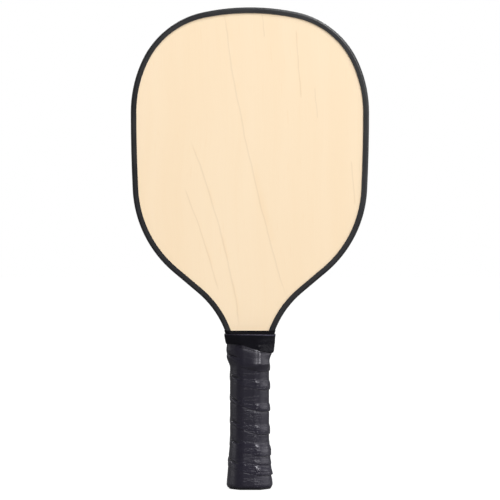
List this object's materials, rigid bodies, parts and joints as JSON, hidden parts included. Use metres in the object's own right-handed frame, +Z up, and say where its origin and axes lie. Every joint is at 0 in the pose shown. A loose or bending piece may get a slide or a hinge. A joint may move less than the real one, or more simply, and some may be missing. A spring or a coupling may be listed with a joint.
{
  "type": "pickleball paddle",
  "caption": "Wooden pickleball paddle: rounded plywood head with a black edge guard, a short cushion-wrapped octagonal handle and a flared butt.",
  "frame": {"origin": "centre of the butt cap's flat end", "axes": "+Z up the paddle from the butt to the crown, +X to the right seen from the front, front face towards -Y"},
  "size_m": [0.1982, 0.036, 0.4],
  "materials": {
    "face_veneer": "pale maple veneer under clear satin lacquer",
    "crossband": "raw plywood crossband",
    "inner_ply": "raw plywood ply",
    "handle_scale": "raw planed wood",
    "edge_guard": "soft black vinyl, satin",
    "bond_tape": "double-sided tape",
    "butt_cap": "moulded black plastic, fine texture",
    "staple": "flat steel wire",
    "cushion_grip": "dark grey cushioned synthetic leather, dull sheen",
    "finishing_tape": "stretched black vinyl tape, glossy"
  },
  "bodies": {
    "root": {"face_veneer_front": "face_veneer", "crossband_front": "crossband", "inner_ply_front": "inner_ply", "core_ply": "crossband", "inner_ply_rear": "inner_ply", "crossband_rear": "crossband", "face_veneer_rear": "face_veneer", "edge_guard": "edge_guard", "edge_bond_tape": "bond_tape", "handle_scale_front": "handle_scale", "handle_scale_rear": "handle_scale", "butt_cap": "butt_cap", "butt_cap_staples": "staple", "cushion_grip": "cushion_grip", "neck_tape": "finishing_tape", "collar_tape": "finishing_tape"}
  },
  "joints": []
}
